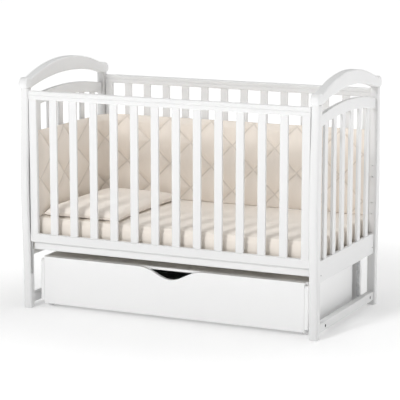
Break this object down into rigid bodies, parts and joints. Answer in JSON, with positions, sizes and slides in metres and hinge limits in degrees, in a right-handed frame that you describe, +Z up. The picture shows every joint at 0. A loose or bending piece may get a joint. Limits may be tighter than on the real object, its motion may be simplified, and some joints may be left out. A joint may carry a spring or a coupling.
{
  "type": "baby crib",
  "caption": "Slatted baby crib with arched end caps, a drop side in guide slots, a lidded drawer on castors, mattress, quilted bumper and pillow.",
  "frame": {"origin": "on the floor, at the middle of the crib's bounding box in plan", "axes": "+X along the length, to the right as seen from the front; +Y from the front (drop side) to the rear; +Z up"},
  "size_m": [1.262, 0.6956, 0.98],
  "materials": {
    "white_paint": "satin white paint",
    "bare_wood": "planed, unpainted",
    "quilted_cotton": "quilted in diamonds",
    "mattress_cotton": "plain woven cotton",
    "white_plastic": "moulded",
    "steel": "zinc plated"
  },
  "bodies": {
    "stand": {"arched_cap_left": "white_paint", "arched_cap_right": "white_paint", "arched_rail_left": "white_paint", "arched_rail_right": "white_paint", "base_rail_front": "white_paint", "base_rail_rear": "white_paint", "bumper_left": "quilted_cotton", "bumper_rear": "quilted_cotton", "cross_nut_front_left": "steel", "cross_nut_front_right": "steel", "cross_nut_rear_left": "steel", "cross_nut_rear_right": "steel", "end_panel_left": "white_paint", "end_panel_right": "white_paint", "fixing_strip_left": "steel", "fixing_strip_right": "steel", "foot_stretcher_left": "white_paint", "foot_stretcher_right": "white_paint", "mattress": "mattress_cotton", "pillow": "mattress_cotton", "post_front_left": "white_paint", "post_front_right": "white_paint", "post_rear_left": "white_paint", "post_rear_right": "white_paint", "rear_cross_board": "white_paint", "rear_panel": "white_paint", "slatted_base": "bare_wood"},
    "drop_side": {"drop_side_bottom_rail": "white_paint", "drop_side_slat_01": "white_paint", "drop_side_slat_02": "white_paint", "drop_side_slat_03": "white_paint", "drop_side_slat_04": "white_paint", "drop_side_slat_05": "white_paint", "drop_side_slat_06": "white_paint", "drop_side_slat_07": "white_paint", "drop_side_slat_08": "white_paint", "drop_side_slat_09": "white_paint", "drop_side_slat_10": "white_paint", "drop_side_slat_11": "white_paint", "drop_side_slat_12": "white_paint", "drop_side_stile_left": "white_paint", "drop_side_stile_right": "white_paint", "drop_side_top_rail": "white_paint"},
    "drawer": {"castor_bracket_front_left": "steel", "castor_bracket_front_right": "steel", "castor_bracket_rear_left": "steel", "castor_bracket_rear_right": "steel", "drawer_back": "white_paint", "drawer_bottom": "white_paint", "drawer_front": "white_paint", "drawer_lid": "white_paint", "drawer_side_left": "white_paint", "drawer_side_right": "white_paint"},
    "wheel_front_left": {"castor_wheel_front_left": "white_plastic"},
    "wheel_front_right": {"castor_wheel_front_right": "white_plastic"},
    "wheel_rear_left": {"castor_wheel_rear_left": "white_plastic"},
    "wheel_rear_right": {"castor_wheel_rear_right": "white_plastic"}
  },
  "joints": [
    {"name": "drop_side", "type": "slide", "parent": "stand", "child": "drop_side", "axis": [0, 0, 1], "range_m": [-0.145, 0]},
    {"name": "drawer", "type": "slide", "parent": "stand", "child": "drawer", "axis": [0, -1, 0], "range_m": [0, 0.4]},
    {"name": "wheel_front_left", "type": "hinge", "parent": "drawer", "child": "wheel_front_left", "pos_m": [-0.5489, -0.247, 0.02], "axis": [1, 0, 0], "continuous": true},
    {"name": "wheel_front_right", "type": "hinge", "parent": "drawer", "child": "wheel_front_right", "pos_m": [0.5489, -0.247, 0.02], "axis": [1, 0, 0], "continuous": true},
    {"name": "wheel_rear_left", "type": "hinge", "parent": "drawer", "child": "wheel_rear_left", "pos_m": [-0.5489, 0.155, 0.02], "axis": [1, 0, 0], "continuous": true},
    {"name": "wheel_rear_right", "type": "hinge", "parent": "drawer", "child": "wheel_rear_right", "pos_m": [0.5489, 0.155, 0.02], "axis": [1, 0, 0], "continuous": true}
  ]
}
